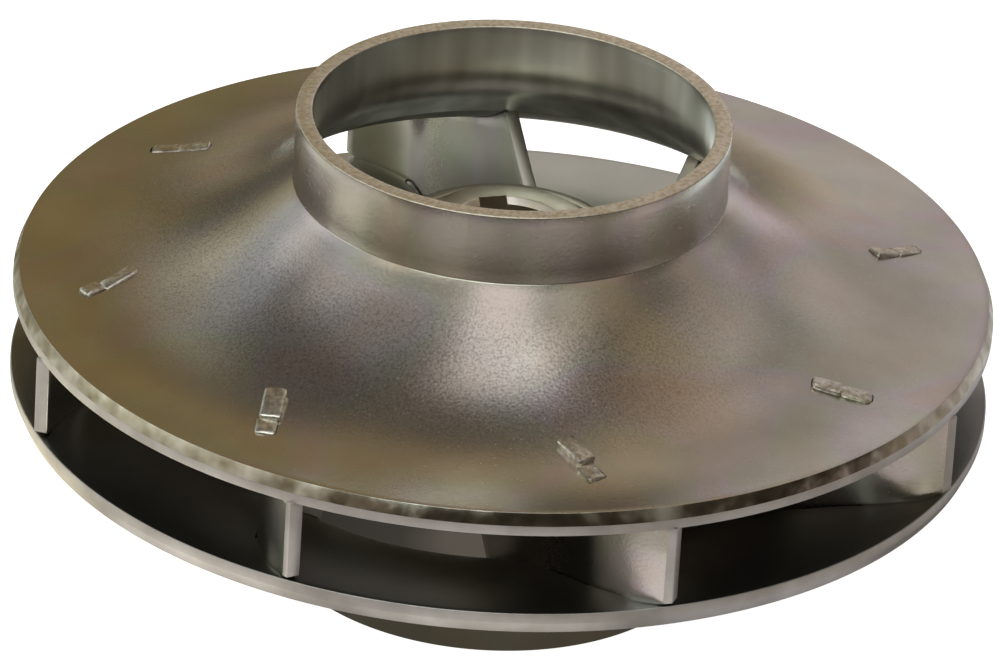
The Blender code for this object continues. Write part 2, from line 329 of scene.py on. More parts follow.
def rolled_wall():
    """Satin, with light and dark upright streaks."""
    material, tree, shader, place = new_material("rolled_steel_wall")
    # Stretching the pattern upwards turns spots into upright streaks.
    stretch = add_node(tree, "ShaderNodeMapping", {}, {"Vector": place, "Scale": (1, 1, STREAK_SHORTENING)})
    streaks = add_node(tree, NOISE, {}, {"Vector": stretch, "Scale": per_metre(STREAK_MM), "Detail": 2})
    colour = add_node(tree, RAMP, {}, {"Fac": streaks}, [
        (0.35, "c0bfb7"), (0.52, "dddcd4"), (0.66, "f6f4ee")])
    satin = add_node(tree, RANGE, {}, {"Value": streaks, "To Min": 0.28, "To Max": 0.38})
    relief = add_node(tree, BUMP, {}, {"Height": streaks, "Strength": 0.3, "Distance": 0.4 * MM})
    fill(tree, shader, {"Base Color": colour, "Roughness": satin, "Normal": relief})
    return material


# %% [markdown]
# ## Machined hub steel and hammered tabs
#
# The hub looks turned and not plated: its faces are bright and cream-white, and get fine
# rings. The tabs look hit with a punch until they spread: their tops are dented, and
# bare steel shows on them.

# %% Machined and hammered finishes
HUB_BLOTCH_MM = 7
RING_MM = 0.35
DENT_MM = 1.3


def machined_steel():
    """Bright and warm, with rings that shimmer a little."""
    material, tree, shader, place = new_material("machined_steel")
    blotch = add_node(tree, NOISE, {}, {"Vector": place, "Scale": per_metre(HUB_BLOTCH_MM), "Detail": 2})
    colour = add_node(tree, RAMP, {}, {"Fac": blotch}, [(0.35, "e2dac8"), (0.65, "f2ecdd")])
    # The tool's rings follow the shaft axis, so their pattern is a wave of the radius.
    turns = add_node(tree, MATH, {"operation": "MULTIPLY"}, {
        0: shaft_distance(tree, place), 1: 2 * math.pi * per_metre(RING_MM)})
    ring = add_node(tree, MATH, {"operation": "SINE"}, {0: turns})
    relief = add_node(tree, BUMP, {}, {"Height": ring, "Strength": 0.15, "Distance": 0.03 * MM})
    fill(tree, shader, {"Base Color": colour, "Roughness": 0.3, "Normal": relief})
    return material


def hammered_steel():
    """Uneven and bright, like steel left exposed by blows."""
    material, tree, shader, place = new_material("hammered_steel")
    dents = add_node(tree, NOISE, {}, {"Vector": place, "Scale": per_metre(DENT_MM), "Detail": 3})
    colour = add_node(tree, RAMP, {}, {"Fac": dents}, [(0.36, "bcb5a6"), (0.52, "d9d3c6"), (0.66, "f0eadd")])
    relief = add_node(tree, BUMP, {}, {"Height": dents, "Strength": 0.35, "Distance": 0.25 * MM})
    fill(tree, shader, {"Base Color": colour, "Roughness": 0.34, "Normal": relief})
    return material


PLATING = zinc_plating("zinc_plated_drawn_steel", True)
PLAIN = zinc_plating("zinc_plated_flat_steel", False)
DULL_TOP = dull_plating("dull_zinc_plating_facing_up", "d2d2c9", "e0e0d8")
# Painted shade: the faces that look down get the same dull plating in darker colours.
DULL_UNDER_SHADED = dull_plating("dull_zinc_plating_facing_down_painted_shade", "a4a59c", "b8b9b0")
EDGE = cut_edge()
CHAMFER = shiny_chamfer()
SAWN = sawn_end()
WALL = rolled_wall()
MACHINED = machined_steel()
HAMMERED = hammered_steel()
FINISHES = (PLATING, PLAIN, DULL_TOP, DULL_UNDER_SHADED, EDGE, CHAMFER, SAWN, WALL, MACHINED, HAMMERED)
print("finishes:", ", ".join(finish.name for finish in FINISHES))

# %% [markdown]
# ## Profiles with rounded corners
#
# A turned part is easiest to describe by its half section. The section is drawn as a few
# corners, each with its own rounding radius. `rounded` replaces each corner by a short
# arc, and `dense` splits long straight runs, so that faces stay small where slots are
# cut into them later.

# %% Helpers for profiles and meshes


def bend(before, corner, after, radius, steps):
    """Points of the arc that rounds the corner between two straight lines."""
    into = math.atan2(corner[1] - before[1], corner[0] - before[0])
    out = math.atan2(after[1] - corner[1], after[0] - corner[0])
    turn = (out - into + math.pi) % (2 * math.pi) - math.pi
    reach = radius * math.tan(abs(turn) / 2)
    start = (corner[0] - reach * math.cos(into), corner[1] - reach * math.sin(into))
    side = math.copysign(1, turn)
    centre = (start[0] - side * radius * math.sin(into), start[1] + side * radius * math.cos(into))
    points = []
    for step in range(steps + 1):
        angle = into + turn * step / steps
        x = centre[0] + side * radius * math.sin(angle)
        z = centre[1] - side * radius * math.cos(angle)
        points.append((x, z))
    return points


def rounded(corners):
    """A closed profile from (radius, height, rounding, steps) corners."""
    points = []
    count = len(corners)
    for i, (x, z, rounding, steps) in enumerate(corners):
        before = corners[i - 1]
        after = corners[(i + 1) % count]
        if rounding > 0:
            points += bend(before[:2], (x, z), after[:2], rounding, steps)
        else:
            points.append((x, z))
    return points


def dense(points, longest):
    """The same closed profile with no straight run longer than this."""
    result = []
    for i, start in enumerate(points):
        end = points[(i + 1) % len(points)]
        parts = max(1, math.ceil(math.dist(start, end) / longest))
        for part in range(parts):
            share = part / parts
            x = start[0] + (end[0] - start[0]) * share
            z = start[1] + (end[1] - start[1]) * share
            result.append((x, z))
    return result


def turned_mesh(name, profile, steps):
    """The closed profile swept round the shaft axis, heights counted from the mid plane."""
    shape = bmesh.new()
    rings = []
    for step in range(steps):
        angle = 2 * math.pi * step / steps
        c = math.cos(angle)
        s = math.sin(angle)
        rings.append([shape.verts.new((r * c, r * s, MID_HEIGHT + z)) for r, z in profile])
    for step in range(steps):
        here = rings[step]
        ahead = rings[(step + 1) % steps]
        for i in range(len(profile)):
            j = (i + 1) % len(profile)
            shape.faces.new((here[i], here[j], ahead[j], ahead[i]))
    bmesh.ops.recalc_face_normals(shape, faces=shape.faces)
    mesh = bpy.data.meshes.new(name)
    shape.to_mesh(mesh)
    shape.free()
    return mesh


def add_piece(name, mesh):
    """A new object with this mesh, in the scene."""
    piece = bpy.data.objects.new(name, mesh)
    bpy.context.scene.collection.objects.link(piece)
    return piece


def apply_modifiers(piece):
    """Replaces the piece's mesh by the one that its modifiers make."""
    bpy.context.view_layer.update()
    evaluated = piece.evaluated_get(bpy.context.evaluated_depsgraph_get())
    mesh = bpy.data.meshes.new_from_object(evaluated)
    piece.modifiers.clear()
    piece.data = mesh


def cut_away(piece, cutter):
    """Takes the cutter's volume out of the piece for good and removes the cutter."""
    modifier = piece.modifiers.new("Cut", "BOOLEAN")
    modifier.operation = "DIFFERENCE"
    modifier.solver = "EXACT"
    modifier.object = cutter
    apply_modifiers(piece)
    bpy.data.objects.remove(cutter, do_unlink=True)


def shade(piece, angle):
    """Smooth shading with crisp edges where faces meet at more than this angle in degrees."""
    for face in piece.data.polygons:
        face.use_smooth = True
    piece.data.set_sharp_from_angle(angle=math.radians(angle))


# %% [markdown]
# ## The vane's path
#
# Seen from above, a vane is a bent strip that leans back against the turning direction.
# Its middle line is given by a few radii with their angles from the outer end, and a
# smooth cubic runs through them. The tabs that hold the vane in the shrouds sit on the
# same line, so the slots need it too. In the photograph some vanes' ends lie a few
# degrees off the even spacing, so a vane can turn at its ends and not at its tabs.

# %% Follow the vane's path
VANE_COUNT = 8
VANE_THICKNESS = 3.4 * MM
TRAILING_AZIMUTH = 22.2
TAB_RADIUS = 98.0 * MM
LIP_RADIUS = 61.8 * MM
# Radius in millimetres and angle in degrees of points on the middle line, from the outer end inwards.
VANE_PATH = (
    (120.0, 0.0), (106.2, -7.3), (97.6, -10.0), (80.0, -15.5),
    (61.8, -20.6), (45.5, -28.0), (30.0, -40.0), (20.0, -52.0),
)
# One row a vane, from vane 1 on: how far its inner and outer ends lie off the even spacing, in
# degrees, and how deep its sloped inlet edge is hollowed, in millimetres. The photograph doesn't show
# vane 4's inlet edge, so its row, which hides it, is a guess.
HAND_SET = (
    (0, 0, 3), (-3.2, 0, 1.5), (-0.8, -1.6, 1.5), (5, 0, 11),
    (0, 1.7, 3), (0, 0.75, 3), (0, 0, 3), (0, 0, 3),
)


def path_azimuth(radius):
    """The middle line's angle at this radius, in degrees."""
    points = sorted((r * MM, azimuth) for r, azimuth in VANE_PATH)
    slopes = []
    for i in range(len(points)):
        low = points[max(i - 1, 0)]
        high = points[min(i + 1, len(points) - 1)]
        slopes.append((high[1] - low[1]) / (high[0] - low[0]))
    for i in range(len(points) - 1):
        r0, a0 = points[i]
        r1, a1 = points[i + 1]
        if radius <= r1 or i == len(points) - 2:
            span = r1 - r0
            t = (radius - r0) / span
            rise = 3 * t ** 2 - 2 * t ** 3
            start = t ** 3 - 2 * t ** 2 + t
            end = t ** 3 - t ** 2
            return a0 + (a1 - a0) * rise + span * (slopes[i] * start + slopes[i + 1] * end)


def path_point(radius):
    azimuth = math.radians(path_azimuth(radius))
    return Vector((radius * math.cos(azimuth), radius * math.sin(azimuth), 0))


def path_direction(radius):
    """The direction of the middle line at this radius, outwards, in radians."""
    step = path_point(radius + 0.5 * MM) - path_point(radius - 0.5 * MM)
    return math.atan2(step.y, step.x)


def vane_turn(index):
    return math.radians(TRAILING_AZIMUTH + 360 / VANE_COUNT * index)


def hand_turn(index, radius):
    """The small turn of a vane at this radius: none at its tab, all of it at its ends."""
    inner, outer = HAND_SET[index][:2]
    if radius < TAB_RADIUS:
        share = min(1, (TAB_RADIUS - radius) / (TAB_RADIUS - LIP_RADIUS))
        return math.radians(inner) * share
    return math.radians(outer) * (radius - TAB_RADIUS) / (RIM_RADIUS - TAB_RADIUS)


lean = math.degrees(path_direction(TAB_RADIUS)) - path_azimuth(TAB_RADIUS)
print("a vane leans %.1f degrees from the radius at its tab" % lean)

# %% [markdown]
# ## The shrouds
#
# A shroud looks pressed from one round blank: a flat rim, one wide concave sweep and an
# upright collar that forms the inlet. Turning the half section round the axis gives the
# whole form in one go. The eight slots for the tabs are then cut with a Boolean.

# %% Build the shrouds
HALF_HEIGHT = MID_HEIGHT
OUTLET_HALF = 10.5 * MM
RIM_THICKNESS = 5.6 * MM
RIM_CHAMFER = 1.3 * MM
RIM_BAND = 2.6 * MM
COLLAR_OUTER = 53.0 * MM
COLLAR_INNER = 48.95 * MM
# The outer and the inner face each leave the flat rim at a radius and rise on an arc.
SWEEP_START = 117 * MM
SWEEP_RADIUS = 91.8 * MM
INNER_START = 118 * MM
INNER_RADIUS = 91.85 * MM
NECK_START = 59 * MM
NECK_SLOPE = 0.81
NECK_FILLET = 0.5 * MM
LIP_HEIGHT = 29.7 * MM
LIP_ROUNDING = 18 * MM
CORNER = 0.45 * MM
TURN_STEPS = 240
LONGEST_RUN = 3 * MM
SLOT_LENGTH = 15.2 * MM
SLOT_WIDTH = 3.9 * MM
SLOT_CORNER = 1.0 * MM
SLOT_LEVEL = 17 * MM
SLOT_BAR_HEIGHT = 24 * MM
# The order of the finishes on a shroud.
SKIN, BAND, BEVEL, SAWN_END, INNER_WALL, INSIDE = range(6)


def sweep_height(start, radius, at):
    """How far an arc that leaves the flat rim at one radius has risen at another."""
    inward = max(0.0, start - at)
    return radius - math.sqrt(radius ** 2 - inward ** 2)


def outer_height(radius):
    """Height of the shroud's outer face above the mid plane."""
    inward = max(0, NECK_START - radius)
    rise = sweep_height(SWEEP_START, SWEEP_RADIUS, max(radius, NECK_START))
    return OUTLET_HALF + RIM_THICKNESS + rise + inward * NECK_SLOPE


def inner_height(radius):
    """Height of the shroud's inner face above the mid plane."""
    return OUTLET_HALF + sweep_height(INNER_START, INNER_RADIUS, radius)


def sweep_points(start, radius, end, height, steps):
    """Points along such an arc from its start inwards, evenly spaced."""
    whole = math.asin((start - end) / radius)
    points = []
    for step in range(steps + 1):
        at = start - radius * math.sin(whole * step / steps)
        points.append((at, height(at), 0, 0))
    return points


def shroud_profile():
    """Half section of the upper shroud, down its outside and back up its inside."""
    outside = sweep_points(SWEEP_START, SWEEP_RADIUS, COLLAR_OUTER, outer_height, 24)
    inside = sweep_points(INNER_START, INNER_RADIUS, LIP_RADIUS, inner_height, 20)
    neck = (*outside.pop()[:2], NECK_FILLET, 3)
    lip = (*inside.pop()[:2], 0.8 * MM, 4)
    corners = [(COLLAR_OUTER, HALF_HEIGHT, CORNER, 4), neck]
    corners += outside[::-1]
    corners += [
        (RIM_RADIUS - RIM_CHAMFER, OUTLET_HALF + RIM_THICKNESS, 0.2 * MM, 3),
        (RIM_RADIUS, OUTLET_HALF + RIM_BAND, CORNER, 3),
        (RIM_RADIUS, OUTLET_HALF, 0.3 * MM, 3),
    ]
    corners += inside + [
        lip,
        (COLLAR_INNER, LIP_HEIGHT + LIP_RADIUS - COLLAR_INNER, LIP_ROUNDING, 12),
        (COLLAR_INNER, HALF_HEIGHT, CORNER, 4),
    ]
    return dense(rounded(corners), LONGEST_RUN)


def slot_cutter(side):
    """Eight upright bars with rounded corners, one for each slot of a shroud."""
    shape = bmesh.new()
    for index in range(VANE_COUNT):
        bar = bmesh.new()
        size = (SLOT_LENGTH, SLOT_WIDTH, SLOT_BAR_HEIGHT, 1)
        bmesh.ops.create_cube(bar, size=1, matrix=Matrix.Diagonal(size))
        upright = [edge for edge in bar.edges if abs(edge.verts[0].co.z - edge.verts[1].co.z) > MM]
        bmesh.ops.bevel(bar, geom=upright, offset=SLOT_CORNER, segments=4, affect="EDGES", profile=0.5)
        turn = vane_turn(index)
        spin = Matrix.Rotation(turn + path_direction(TAB_RADIUS), 4, "Z")
        point = Matrix.Rotation(turn, 4, "Z") @ path_point(TAB_RADIUS)
        place = Matrix.Translation((point.x, point.y, MID_HEIGHT + side * SLOT_LEVEL))
        bmesh.ops.transform(bar, matrix=place @ spin, verts=bar.verts)
        mesh = bpy.data.meshes.new("slot_bar")
        bar.to_mesh(mesh)
        bar.free()
        shape.from_mesh(mesh)
        bpy.data.meshes.remove(mesh)
    cutters = bpy.data.meshes.new("slot_bars")
    shape.to_mesh(cutters)
    shape.free()
    return add_piece("slot_bars", cutters)


def finish_of(face):
    """Which finish a face of a shroud has, told from where it lies and where it looks."""
    centre = face.center
    radius = math.hypot(centre.x, centre.y)
    height = abs(centre.z - MID_HEIGHT)
    outward = face.normal.dot(Vector((centre.x, centre.y, 0)).normalized())
    if radius > RIM_RADIUS - 0.35 * MM and height < OUTLET_HALF + RIM_BAND:
        return BAND
    if radius > RIM_RADIUS - RIM_CHAMFER and height > OUTLET_HALF + RIM_BAND - 0.5 * MM:
        return BEVEL
    if height > HALF_HEIGHT - 0.3 * MM:
        return SAWN_END
    if radius < LIP_RADIUS and outward < -0.3:
        return INNER_WALL
    if height < inner_height(radius) + 0.3 * MM:
        return INSIDE
    return SKIN


def make_shroud(name, node, side):
    """The upper shroud for side 1 or the lower one for side -1, in place of a node of the model."""
    profile = [(radius, side * height) for radius, height in shroud_profile()]
    shroud = add_piece(name, turned_mesh(name, profile, TURN_STEPS))
    cut_away(shroud, slot_cutter(side))
    # The upper shroud's inside looks down, so it takes the copy with painted shade.
    inside = DULL_UNDER_SHADED if side > 0 else DULL_TOP
    chamfer = CHAMFER if side > 0 else EDGE
    for material in (PLATING, EDGE, chamfer, SAWN, WALL, inside):
        shroud.data.materials.append(material)
    for face in shroud.data.polygons:
        face.material_index = finish_of(face)
    shade(shroud, 24)
    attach(shroud, "root")
    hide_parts(node)
    return shroud


upper_shroud = make_shroud("shroud_upper_pressed", "shroud_upper", 1)
lower_shroud = make_shroud("shroud_lower_pressed", "shroud_lower", -1)
print("a shroud has", len(upper_shroud.data.polygons), "faces")

# %% [markdown]
# ## The vanes
#
# Each vane is a strip of the same sheet, bent along the path and trimmed so that its
# edges follow the shrouds. It is built as a grid of points on both sides of the middle
# line, which gives full control over the trimmed edges. The grid also takes two small
# marks at the vane's foot: a swelling like the bead of a tack weld, and a nick in the
# outer corner. A small bevel catches the light on the cut edges.

# %% Build the vane plates
VANE_STATIONS = 60
VANE_ROWS = 14
VANE_END_RADIUS = 119.6 * MM
HUB_RADIUS = 28 * MM
GAP = 0.3 * MM
EDGE_SLOPE = 0.72
# The vane reaches a little into the shroud, so no light slips through between them.
EDGE_OVERLAP = 0.2 * MM
EDGE_HOLLOW_LENGTH = 26 * MM
EDGE_BEVEL = 0.25 * MM
HARD_ANGLE = 40
BEAD_RADIUS = 113 * MM
BEAD_REACH = 3.5 * MM
BEAD_FROM = 5 * MM
BEAD_WIDTH = 0.9 * MM
NICK_START = 117 * MM
NICK_HEIGHT = 1.4 * MM


def vane_half_height(index, radius):
    """How far the vane reaches from the mid plane: to the shroud, then along its sloped inlet edge."""
    if radius >= LIP_RADIUS:
        return inner_height(radius) + EDGE_OVERLAP
    inward = LIP_RADIUS - radius
    hollow = HAND_SET[index][2] * MM * math.sin(math.pi * min(1, inward / EDGE_HOLLOW_LENGTH))
    return LIP_HEIGHT + EDGE_OVERLAP - inward * EDGE_SLOPE - hollow


def weld_bead(radius, height):
    """How far the vane's face swells at its foot near the outer end, like a tack weld's bead."""
    low = max(0.0, (-height - BEAD_FROM) / (OUTLET_HALF - BEAD_FROM))
    near = max(0.0, 1 - abs(radius - BEAD_RADIUS) / BEAD_REACH)
    return BEAD_WIDTH * low * near


def foot_nick(radius):
    """How much shorter the vane's foot is at its outer corner."""
    return NICK_HEIGHT * max(0.0, (radius - NICK_START) / (VANE_END_RADIUS - NICK_START))


def vane_shape(index):
    """A bent plate as a closed grid mesh, in place."""
    shape = bmesh.new()
    lift = Vector((0, 0, MID_HEIGHT))
    inner = HUB_RADIUS + GAP
    sides = []
    for side in (1, -1):
        columns = []
        for station in range(VANE_STATIONS + 1):
            radius = inner + (VANE_END_RADIUS - inner) * station / VANE_STATIONS
            angle = path_direction(radius)
            turn = Matrix.Rotation(vane_turn(index) + hand_turn(index, radius), 4, "Z")
            across = Vector((-math.sin(angle), math.cos(angle), 0)) * side
            half = vane_half_height(index, radius)
            column = []
            for row in range(VANE_ROWS + 1):
                share = row / VANE_ROWS
                height = half * (2 * share - 1) + foot_nick(radius) * (1 - share)
                bead = weld_bead(radius, height) if side < 0 else 0
                aside = across * (VANE_THICKNESS / 2 + bead)
                point = path_point(radius) + aside + Vector((0, 0, height))
                column.append(shape.verts.new(turn @ point + lift))
            columns.append(column)
        sides.append(columns)
    left, right = sides
    for i in range(VANE_STATIONS):
        for j in range(VANE_ROWS):
            shape.faces.new((left[i][j], left[i + 1][j], left[i + 1][j + 1], left[i][j + 1]))
            shape.faces.new((right[i][j + 1], right[i + 1][j + 1], right[i + 1][j], right[i][j]))
        for j in (0, VANE_ROWS):
            shape.faces.new((left[i][j], left[i + 1][j], right[i + 1][j], right[i][j]))
    for j in range(VANE_ROWS):
        for i in (0, VANE_STATIONS):
            shape.faces.new((left[i][j], left[i][j + 1], right[i][j + 1], right[i][j]))
    bmesh.ops.recalc_face_normals(shape, faces=shape.faces)
    return shape


def soften(shape, width, segments):
    """Bevels the edges where faces meet at more than the hard angle."""
    inner = [edge for edge in shape.edges if len(edge.link_faces) == 2]
    hard = [edge for edge in inner if edge.calc_face_angle() > math.radians(HARD_ANGLE)]
    bmesh.ops.bevel(shape, geom=hard, offset=width, segments=segments, affect="EDGES", profile=0.5)


# %% [markdown]
# ## The hammered tabs
#
# Each vane edge has one tab that is split in two. The halves are hammered to opposite
# sides, so they grip the shroud like a rivet. No two blows are the same. How high the
# halves stand, and how far they were pushed and spread, is fitted to the photograph; a
# small lean and the dents come from a fixed seed, so that every run gives the same tabs.

# %% Build the tabs
TAB_SEED = 7
# Without a seed, the noise's vectors differ from one run of Blender to the next.
noise.seed_set(TAB_SEED)
# One row a vane, from vane 1 on, in millimetres: how far the outer and the inner half stand proud of
# the shroud, how far the blows pushed each of them sideways, how long the inner half is and how
# round its corners are. The last number is the share by which the blows made the halves wider.
TAB_BLOWS = (
    (0.6, 0.7, 0.1, 0.1, 7.4, 0.9, 0.6),
    (0.6, 0.6, 0.4, 0.4, 7.4, 0.8, 0.35),
    (0.6, 0.6, 0.4, 0.4, 7.4, 0.8, 0.35),
    (0.5, 0.6, 0.2, 0.2, 7.4, 0.9, 0.55),
    (0.9, 0.9, 0.7, 0.2, 9.4, 0.8, 0.35),
    (0.7, 1.9, 0.8, -0.3, 9.4, 0.6, 0.7),
    (0.8, 1.9, 0.8, 0.4, 9.0, 0.6, 0.6),
    (1.0, 1.1, 0.1, 0.1, 7.4, 1.0, 0.75),
)
TAB_VISIBLE = 14.8 * MM
TAB_THICKNESS = VANE_THICKNESS - 0.2 * MM
# The metal's move starts this far below the shroud's face and grows to its full over this height.
MOVED_BELOW = 1.5 * MM
MOVED_OVER = 2 * MM
LEAN = 0.06
DENT_SCALE = 450
DENT_DEPTH = 0.3 * MM
WARP_SCALE = 300
WARP_DEPTH = 0.15 * MM
# Rounding up to this value, in millimetres, leaves no notch between the two halves.
PLAIN_ROUNDING = 0.5


def slope_at(height, radius):
    """How much a face of the shroud rises for each unit outwards."""
    return (height(radius + MM) - height(radius - MM)) / (2 * MM)


def tab_half(half, length, proud, push, rounding, spread, chance):
    """One half of a tab in its own frame: x along the slot, z out of the shroud from the mid plane."""
    middle = half * (TAB_VISIBLE - length) / 2
    surface = outer_height(TAB_RADIUS + middle)
    bottom = inner_height(TAB_RADIUS + middle) + 0.1 * MM
    top = surface + proud * MM
    lift = (top + bottom) / 2
    shape = bmesh.new()
    bmesh.ops.create_cube(shape, size=1)
    bmesh.ops.scale(shape, vec=(length, TAB_THICKNESS, top - bottom), verts=shape.verts)
    soften(shape, rounding * MM, 3)
    bmesh.ops.subdivide_edges(shape, edges=shape.edges[:], cuts=3, use_grid_fill=True)
    below = slope_at(inner_height, TAB_RADIUS + middle)
    above = slope_at(outer_height, TAB_RADIUS + middle) + chance.uniform(-LEAN, LEAN)
    seed = Vector((chance.uniform(0, 50), chance.uniform(0, 50), 0))
    for vert in shape.verts:
        height = vert.co.z + lift
        moved = min(1.0, max(0.0, (height - surface + MOVED_BELOW) / MOVED_OVER))
        vert.co.y = vert.co.y * (1 + spread * moved) - half * push * MM * moved
        vert.co.z += (1 - moved) * vert.co.x * below
        dent = noise.noise(vert.co * DENT_SCALE + seed) * DENT_DEPTH
        vert.co.z += moved * (vert.co.x * above + dent)
        vert.co += moved * noise.noise_vector(vert.co * WARP_SCALE + seed) * WARP_DEPTH
    bmesh.ops.transform(shape, matrix=Matrix.Translation((middle, 0, lift)), verts=shape.verts)
    return shape


def merge_into(target, part, slot):
    """Adds one mesh to another with a material slot number for all its faces, and frees it."""
    for face in part.faces:
        face.material_index = slot
    mesh = bpy.data.meshes.new("part")
    part.to_mesh(mesh)
    part.free()
    target.from_mesh(mesh)
    bpy.data.meshes.remove(mesh)


def add_tabs(shape, index):
    """Adds the split tabs of a vane's upper and lower edge to its mesh."""
    chance = random.Random(TAB_SEED + index)
    spin = Matrix.Rotation(vane_turn(index), 4, "Z")
    place = Matrix.Translation(path_point(TAB_RADIUS)) @ Matrix.Rotation(path_direction(TAB_RADIUS), 4, "Z")
    lift = Matrix.Translation((0, 0, MID_HEIGHT))
    outer_proud, inner_proud, outer_push, inner_push, inner_length, rounding, spread = TAB_BLOWS[index]
    outer_length = TAB_VISIBLE - inner_length * MM
    overlap = max(0, rounding - PLAIN_ROUNDING) * MM
    halves = (
        (1, outer_length, outer_proud, outer_push),
        (-1, inner_length * MM, inner_proud, inner_push),
    )
    for side in (1, -1):
        mirror = Matrix.Diagonal((1, 1, side, 1))
        for half, length, proud, push in halves:
            part = tab_half(half, length + overlap, proud, push, rounding, spread, chance)
            bmesh.ops.transform(part, matrix=lift @ mirror @ spin @ place, verts=part.verts)
            if side < 0:
                bmesh.ops.reverse_faces(part, faces=part.faces)
            merge_into(shape, part, 2)


def make_vane(index):
    """A vane with its tabs, in place of its node of the model."""
    shape = vane_shape(index)
    soften(shape, EDGE_BEVEL, 2)
    for face in shape.faces:
        centre = face.calc_center_median()
        at_end = math.hypot(centre.x, centre.y) > VANE_END_RADIUS - 0.6 * MM
        face.material_index = 1 if at_end else 0
    add_tabs(shape, index)
    name = "vane_plate_%d" % (index + 1)
    mesh = bpy.data.meshes.new(name)
    shape.to_mesh(mesh)
    shape.free()
    for material in (PLAIN, EDGE, HAMMERED):
        mesh.materials.append(material)
    vane = add_piece(name, mesh)
    shade(vane, 35)
    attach(vane, "root")
    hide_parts("vane_%d" % (index + 1))
    return vane


vanes = [make_vane(index) for index in range(VANE_COUNT)]
print("a vane has", len(vanes[0].data.polygons), "faces")

# %% [markdown]
# ## Centre web and hub
#
# A flat disc in the mid plane ties the vanes together and carries the hub. The photograph
# hides it, so it is a guess from what such wheels have. Both are turned shapes, so the
# same sweep makes them. The bore has a keyway for the shaft, cut with one more Boolean.

# %% Build the web and the hub
WEB_RADIUS = 52 * MM
WEB_THICKNESS = 4.6 * MM
HUB_SHOULDER = 27 * MM
HUB_RIM = 25 * MM
HUB_GROOVE = 3 * MM
NOSE_RADIUS = 20.8 * MM
NOSE_HALF_LENGTH = 30.3 * MM
BORE_RADIUS = 12.9 * MM
BORE_CHAMFER = 1.4 * MM
KEYWAY_WIDTH = 7.0 * MM
KEYWAY_DEPTH = 1.6 * MM
KEYWAY_AZIMUTH = 107
HUB_STEPS = 160


def finish_turned(piece, node, material):
    """Gives a turned piece its material and puts it in place of a node of the model."""
    piece.data.materials.append(material)
    shade(piece, 30)
    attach(piece, "root")
    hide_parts(node)
    return piece


def make_web():
    inner = HUB_RADIUS + GAP
    half = WEB_THICKNESS / 2
    small = 0.4 * MM
    profile = rounded([
        (inner, half, 0, 0), (WEB_RADIUS, half, small, 3),
        (WEB_RADIUS, -half, small, 3), (inner, -half, 0, 0),
    ])
    web = add_piece("centre_disc", turned_mesh("centre_disc", profile, HUB_STEPS))
    return finish_turned(web, "centre_web", PLAIN)


def make_hub():
    half = NOSE_HALF_LENGTH
    groove = HUB_SHOULDER - HUB_GROOVE
    upper = [
        (BORE_RADIUS, half - BORE_CHAMFER, 0, 0), (BORE_RADIUS + BORE_CHAMFER, half, 0.3 * MM, 3),
        (NOSE_RADIUS, half, 0.9 * MM, 5), (NOSE_RADIUS, groove, 0.4 * MM, 3),
        (HUB_RIM, groove, 0.4 * MM, 3), (HUB_RIM, HUB_SHOULDER, 0.3 * MM, 3),
        (HUB_RADIUS, HUB_SHOULDER, 0.7 * MM, 4),
    ]
    lower = [(radius, -height, rounding, steps) for radius, height, rounding, steps in reversed(upper)]
    hub = add_piece("hub_turned", turned_mesh("hub_turned", rounded(upper + lower), HUB_STEPS))
    reach = BORE_RADIUS + KEYWAY_DEPTH
    bar = bmesh.new()
    size = Matrix.Diagonal((reach, KEYWAY_WIDTH, 3 * half, 1))
    turn = Matrix.Rotation(math.radians(KEYWAY_AZIMUTH), 4, "Z")
    place = Matrix.Translation((0, 0, MID_HEIGHT)) @ turn @ Matrix.Translation((reach / 2, 0, 0))
    bmesh.ops.create_cube(bar, size=1, matrix=place @ size)
    mesh = bpy.data.meshes.new("keyway_bar")
    bar.to_mesh(mesh)
    bar.free()
    cut_away(hub, add_piece("keyway_bar", mesh))
    return finish_turned(hub, "hub", MACHINED)


web = make_web()
hub = make_hub()
print("hub bore of %.1f mm" % (2 * BORE_RADIUS / MM))

# %% [markdown]
# ## The floor
#
# The wheel stands on a plain pale floor that glows by itself, so it stays white all
# round. Inside the lower collar it has a painted shadow, dark grey, with a little painted
# light in the middle, to fit the tones that show through the outlets. The floor is kept
# out of the reflections, because the metal in the photograph mirrors less than a white
# floor would give.

# %% Floor
FLOOR_HALF = 1.5
PAINTED_SHADOW_EDGE = 51 * MM


def make_floor():
    """A wide pale sheet, staged so that it is no part of the model, with a painted shadow under the wheel."""
    shape = bmesh.new()
    bmesh.ops.create_grid(shape, x_segments=2, y_segments=2, size=FLOOR_HALF)
    mesh = bpy.data.meshes.new("floor")
    shape.to_mesh(mesh)
    shape.free()
    floor = add_piece("floor", mesh)
    material, tree, shader, place = new_material("pale_paper_painted_shadow")
    # Painted shadow inside the lower collar, with a little painted light in its middle; outside it the floor
    # stays evenly white.
    share = add_node(tree, RANGE, {}, {"Value": shaft_distance(tree, place), "From Max": PAINTED_SHADOW_EDGE})
    paper_with_painted_shadow = add_node(tree, RAMP, {}, {"Fac": share}, [(0.96, "14150f"), (1, "f2f2f2")])
    glow_with_painted_shadow = add_node(tree, RAMP, {}, {"Fac": share}, [
        (0.2, "58514a"), (0.42, "3c3934"), (0.96, "33302b"), (1, "ffffff")])
    fill(tree, shader, {
        "Metallic": 0, "Roughness": 0.9, "Base Color": paper_with_painted_shadow, "Emission Color": glow_with_painted_shadow, "Emission Strength": 1})
    mesh.materials.append(material)
    floor.visible_glossy = False
    floor.visible_shadow = False
    return floor


floor = make_floor()

# %% [markdown]
# ## Light panels
#
# Metal shows what is around it, so the surroundings matter more than the light's
# strength. The reflections read like a softbox above, a big window in front and to the
# left, and grey or brown walls elsewhere. Each is one or more soft panels, with its
# brightness fitted to the photograph. The satin plating blurs them into slow changes of
# tone.

